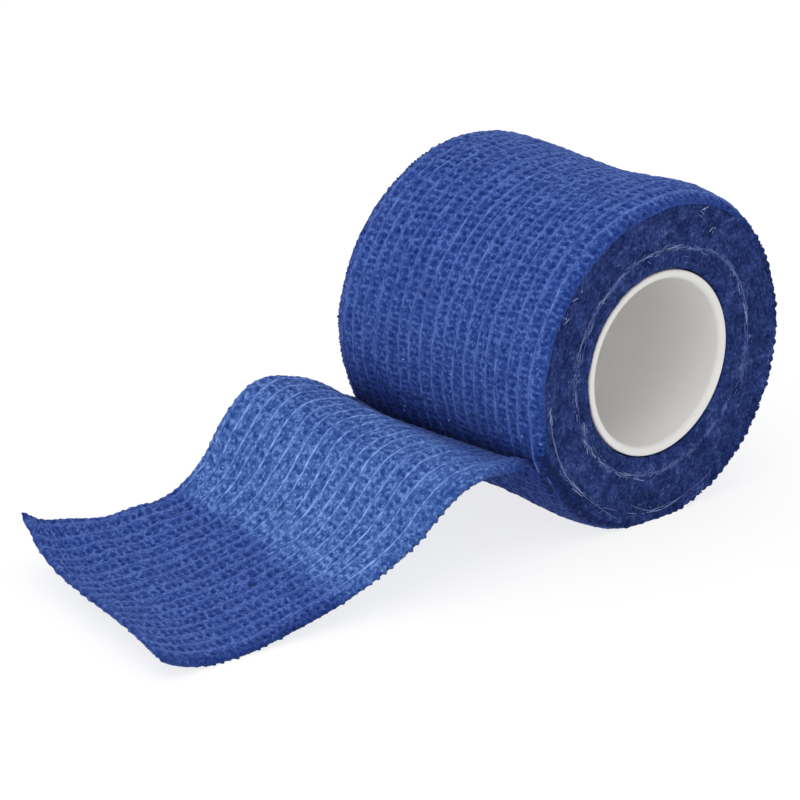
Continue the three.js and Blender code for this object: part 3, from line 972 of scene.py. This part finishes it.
# Light thread ends caught on the end faces, in mm and degrees
faceThreads = {
    # radius, first angle, last angle, how many
    "rings": (
        (20.5, 60, 175, 60),
        (20.0, 150, 200, 20),
        (19.8, 200, 300, 60),
        (21.5, -30, 60, 34),
        (26.3, 183, 245, 12),
        (26.8, 252, 290, 6),
    ),
    # first angle, last angle, radius along the way, brightness
    "long": (
        (187, 250, (26.2, 26.3, 26.5, 26.4, 26.3, 26.6, 27.6), 0.62),
        (196, 222, (26.0, 26.1, 26.3, 26.6, 26.4, 26.5, 26.7), 0.45),
        (256, 283, (25.1, 25.7, 26.3, 26.8, 27.0, 26.8, 26.7), 0.6),
        (262, 300, (26.2, 26.5, 26.4, 26.6, 26.5, 26.7, 26.6), 0.35),
        (64, 112, (20.6, 20.4, 20.6, 20.5, 20.7, 20.6, 20.5), 0.5),
        (205, 262, (19.9, 19.8, 19.9, 19.7, 19.8, 19.7, 19.9), 0.4),
        (-8, 48, (21.6, 21.5, 21.4, 21.6, 21.5, 21.4, 21.3), 0.4),
    ),
    # radius, angle, how many
    "clusters": ((26.8, 139, 5), (26.8, 151, 7), (20.1, 172, 6), (26.6, 182, 8), (26.9, 69, 6), (24.8, 61, 4)),
    "strayCount": 60,
    "strayRadii": (17.2, 27.6),
    "radius": 0.07,
    "taper": (0.7, 0.9, 1.0, 1.0, 1.0, 0.9, 0.7),
    "sides": 4,
    "inset": (0.12, 0.07),  # how far inside the roll's width the short and the long ones lie
    "lowest": 0.06,  # their middle lines stay this high above the floor
}


def buildFaceThreads(material):
    random = np.random.default_rng(121)
    lines, glow = [], []
    steps = len(faceThreads["taper"])
    share = np.linspace(0, 1, steps)
    shortInset, longInset = faceThreads["inset"]

    def lay(side, radius, angle, sweep, rise, drift, bright):
        # one thread along the turns, from an angle over a sweep
        angles = angle + sweep * share
        wobble = 0.12 * np.cumsum(random.uniform(-1, 1, steps)) * min(1, abs(sweep) / 8)
        radii = radius + drift * share + wobble
        place = side * (rollForm["halfWidth"] - shortInset + rise * np.sin(np.pi * (0.15 + 0.85 * share)))
        lines.append(rollPoint(angles, radii, place))
        glow.append(bright)

    for side in (-1, 1):
        for radius, first, last, count in faceThreads["rings"]:
            for _ in range(count):
                angle = random.uniform(first, last)
                sweep = random.choice([-1, 1]) * random.uniform(2, 9)
                place, begin = radius + random.normal(0, 0.3), angle + random.uniform(-4, 4)
                short, rise = random.uniform(-3, 3), random.uniform(-0.1, 0.08)
                lay(side, place, begin, short, rise, random.uniform(-0.6, 0.6), random.uniform(0.1, 0.5))
                place, rise = radius + random.normal(0, 0.22), random.uniform(-0.12, 0.12)
                lay(side, place, angle, sweep, rise, random.normal(0, 0.25), random.uniform(0.15, 0.85))
        for first, last, radii, bright in faceThreads["long"]:
            parts = 3  # each long thread is laid in three parts, end to end
            for part in range(parts):
                way = (part + share) / parts
                angles = first + (last - first) * way
                reach = smoothThrough(np.linspace(0, 1, len(radii)), radii, way)
                reach = reach + 0.06 * softNoise(angles / 3, side, 122)
                place = side * (rollForm["halfWidth"] - longInset)
                lines.append(rollPoint(angles, reach, np.full(steps, place)))
                glow.append(bright)
        for radius, angle, count in faceThreads["clusters"]:
            for _ in range(count):
                sweep = random.uniform(-3, 3)
                drift = random.uniform(-0.9, 0.9)
                place, begin = radius + random.normal(0, 0.4), angle + random.normal(0, 1.9)
                lay(side, place, begin, sweep, random.uniform(-0.05, 0.15), drift, random.uniform(0.4, 1.0))
        for _ in range(faceThreads["strayCount"]):
            place, angle = random.uniform(*faceThreads["strayRadii"]), random.uniform(0, 360)
            sweep, rise = random.uniform(-3, 3), random.uniform(0, 0.25)
            lay(side, place, angle, sweep, rise, random.uniform(-0.8, 0.8), random.uniform(0.0, 0.45))
    lines, glow = np.array(lines), np.array(glow)
    lines[..., 2] = np.maximum(lines[..., 2], faceThreads["lowest"])
    taper = np.array(faceThreads["taper"])
    radii = faceThreads["radius"] * random.uniform(0.6, 1.3, len(lines))[:, None] * taper
    facing = np.broadcast_to([0.0, 1.0, 0.0], lines.shape)
    piece = makeThreads("faceThreads", lines, radii, glow, faceThreads["sides"], material, facing)
    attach(piece, "root")


# The tube core, with softly rounded rims
coreTube = {
    "outerRadius": 16.5,
    "wall": 1.6,
    "length": 49.4,
    "outerRound": 0.45,
    "innerRound": 1.05,
    "outOfRound": 0.03,
    "steps": 160,
    "rimSteps": 7,
    "wallSteps": 22,  # the inside wall in steps, so that its draw marks follow the tube
}


def buildCoreTube(material):
    outer, half = coreTube["outerRadius"], coreTube["length"] / 2
    inner = outer - coreTube["wall"]
    outerRound, innerRound = coreTube["outerRound"], coreTube["innerRound"]
    quarter = np.linspace(0, np.pi / 2, coreTube["rimSteps"])
    radii, places = [], []
    outerRim, innerRim = (outer - outerRound, outerRound), (inner + innerRound, innerRound)
    corners = ((*outerRim, 1), (*innerRim, 1), (*innerRim, -1), (*outerRim, -1))
    for corner, (centre, roundness, side) in enumerate(corners):
        turned = quarter + corner * np.pi / 2
        radii.append(centre + roundness * np.cos(turned))
        places.append(side * (half - roundness) + roundness * np.sin(turned))
    radii.insert(2, np.full(coreTube["wallSteps"], inner))
    places.insert(2, np.linspace(half - innerRound, innerRound - half, coreTube["wallSteps"] + 2)[1:-1])
    radii, places = np.concatenate(radii), np.concatenate(places)
    angle = np.linspace(0, 360, coreTube["steps"], endpoint=False)[:, None]
    spread = coreTube["outOfRound"] * np.sin(np.radians(2 * angle) + 0.6)
    points = rollPoint(angle, radii[None, :] + spread, places)
    rows, columns = points.shape[:2]
    faces = gridFaces(rows, columns, closed=True)
    i = np.arange(rows)
    below = (i + 1) % rows
    last = columns - 1
    closing = np.stack([i * columns + last, below * columns + last, below * columns, i * columns], -1)
    piece = makePiece("coreTube", points.reshape(-1, 3), np.concatenate([faces, closing]), material)
    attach(piece, "root")
    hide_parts("core")


def coreShader():
    # smooth moulded plastic with faint draw marks and scuffs
    material, shader = shaderOf("corePlastic", 0.42, gloss=0.4)
    place = addNode(material, "ShaderNodeTexCoord").outputs["Object"]
    cloud = noiseOf(material, place, 60.0, 3.0)
    marks = noiseOf(material, place, 900.0, 2.0, (1, 0.03, 1))
    ramp = rampOf(material, [(0.3, (0.690, 0.682, 0.660)), (0.7, (0.750, 0.742, 0.722))])
    fine = mathOf(material, "MULTIPLY", marks, 0.2)
    mottle = mathOf(material, "ADD", mathOf(material, "MULTIPLY", cloud, 0.8), fine)
    join(material, mottle, ramp.inputs["Fac"])
    join(material, ramp.outputs["Color"], shader.inputs["Base Color"])
    scuffs = addNode(material, "ShaderNodeBump")
    scuffs.inputs["Strength"].default_value = 0.15
    scuffs.inputs["Distance"].default_value = 0.00005
    join(material, marks, scuffs.inputs["Height"])
    join(material, scuffs.outputs["Normal"], shader.inputs["Normal"])
    return material


# Looks of the cloth, its cut edges and its threads
crepeLook = {
    "roughness": 0.9,
    "sheen": 0.08,
    "sheenTint": (0.5, 0.65, 1.0, 1),
    "gloss": 0.12,
    "fuzzScale": 215.0,
    "fuzzStretch": (1, 1, 1),
    "fuzzShade": 1.0,
    "fuzzStrength": 0.8,
    "patchScale": 9.0,
    "patchShade": 0.12,
    "dotScale": 120.0,
    "dotLevel": 0.56,
    "dotShade": 3.6,
    "colours": [
        (0.0, (0.0030, 0.0110, 0.0700)),
        (0.12, (0.0052, 0.0192, 0.1290)),
        (0.35, (0.0111, 0.0352, 0.1935)),
        (0.7, (0.0274, 0.0640, 0.2752)),
        (1.0, (0.0820, 0.1480, 0.4350)),
    ],
    "stretchedColours": [
        (0.0, (0.0085, 0.0375, 0.1840)),
        (0.35, (0.0240, 0.0695, 0.2800)),
        (0.7, (0.0590, 0.1345, 0.3910)),
        (1.0, (0.1420, 0.2600, 0.5720)),
    ],
}
turnEdgeLook = {
    "roughness": 0.95,
    "sheen": 0.08,
    "sheenTint": (0.5, 0.62, 1.0, 1),
    "gloss": 0.06,
    "fuzzScale": 230.0,
    "fuzzStretch": (1, 0.8, 1),
    "fuzzShade": 1.1,
    "fuzzStrength": 0.7,
    "patchScale": 12.0,
    "patchShade": 0.3,
    "colours": [
        (0.0, (0.004, 0.009, 0.058)),
        (0.35, (0.010, 0.022, 0.105)),
        (0.7, (0.026, 0.047, 0.175)),
        (1.0, (0.075, 0.115, 0.310)),
    ],
}
elasticLook = {
    "roughness": 0.9,
    "sheen": 0.05,
    "colours": [
        (0.0, (0.010, 0.026, 0.15)),
        (0.18, (0.052, 0.108, 0.37)),
        (0.5, (0.09, 0.175, 0.50)),
        (1.0, (0.27, 0.44, 0.85)),
    ],
}
fuzzLook = {
    "roughness": 0.9,
    "sheen": 0.1,
    "colours": [(0.0, (0.06, 0.13, 0.46)), (0.5, (0.11, 0.20, 0.54)), (1.0, (0.36, 0.50, 0.88))],
}
tuftLook = {
    "roughness": 0.9,
    "sheen": 0.05,
    "colours": [(0.0, (0.008, 0.024, 0.15)), (1.0, (0.05, 0.10, 0.36))],
}
faceThreadLook = {
    "roughness": 0.9,
    "sheen": 0.05,
    "colours": [(0.0, (0.03, 0.055, 0.20)), (0.5, (0.11, 0.155, 0.36)), (1.0, (0.38, 0.44, 0.70))],
}


# Floor and lights
studio = {
    "floor": (0.22, 0.22, 0.22),
    "floorGlow": 0.78,
    "floorSize": 6,
    "world": 0.82,
    # strength in watts, size and place in metres
    "lamps": {
        "keyLight": (8.0, 1.8, (-0.5, 0.1, 1.6)),
        "fillLight": (5.5, 1.4, (-1.3, -0.9, 0.9)),
    },
}


def buildStudio():
    material, shader = shaderOf("studioFloor", 0.9, gloss=0.1)
    shader.inputs["Emission Color"].default_value = (1, 1, 1, 1)  # a light table, so shadows stay faint
    shader.inputs["Emission Strength"].default_value = studio["floorGlow"]
    place = addNode(material, "ShaderNodeTexCoord").outputs["Object"]
    ramp = rampOf(material, [(0.3, tuple(0.99 * c for c in studio["floor"])), (0.7, studio["floor"])])
    join(material, noiseOf(material, place, 3.0), ramp.inputs["Fac"])
    join(material, ramp.outputs["Color"], shader.inputs["Base Color"])
    mesh = bpy.data.meshes.new("floor")
    reach = studio["floorSize"]
    corners = ((-reach, -reach), (reach, -reach), (reach, reach), (-reach, reach))
    mesh.from_pydata([(x, y, -0.00002) for x, y in corners], [], [(0, 1, 2, 3)])
    mesh.materials.append(material)
    floor = bpy.data.objects.new("floor", mesh)
    bpy.context.collection.objects.link(floor)
    world = bpy.data.worlds.new("softRoom")
    world.use_nodes = True
    world.node_tree.nodes["Background"].inputs["Color"].default_value = (1, 1, 1, 1)
    world.node_tree.nodes["Background"].inputs["Strength"].default_value = studio["world"]
    bpy.context.scene.world = world
    for name, (strength, size, place) in studio["lamps"].items():
        data = bpy.data.lights.new(name, "AREA")
        data.energy, data.size = strength, size
        lamp = bpy.data.objects.new(name, data)
        lamp.location = place
        lamp.rotation_euler = (Vector((0, 0, 0.03)) - Vector(place)).to_track_quat("-Z", "Y").to_euler()
        bpy.context.collection.objects.link(lamp)
    bpy.context.scene.view_settings.view_transform = "Standard"
    print("studio: floor, soft room light and two soft lamps")


placeCamera()
crepeMaterial = clothShader("crepeCloth", crepeLook)
buildOuterTurn(crepeMaterial)
buildTurnEdges(clothShader("turnEdgeCloth", turnEdgeLook))
loosePiece, looseCut = buildLooseEnd(crepeMaterial)
elasticMaterial = threadShader("elasticThread", elasticLook)
buildWrapThreads(elasticMaterial)
looseThreadPiece = buildLooseThreads(elasticMaterial)
buildClothFuzz(threadShader("yarnFuzz", fuzzLook))
buildEdgeTufts(threadShader("edgeYarn", tuftLook))
buildFaceThreads(threadShader("threadEnds", faceThreadLook))
buildCoreTube(coreShader())
buildStudio()
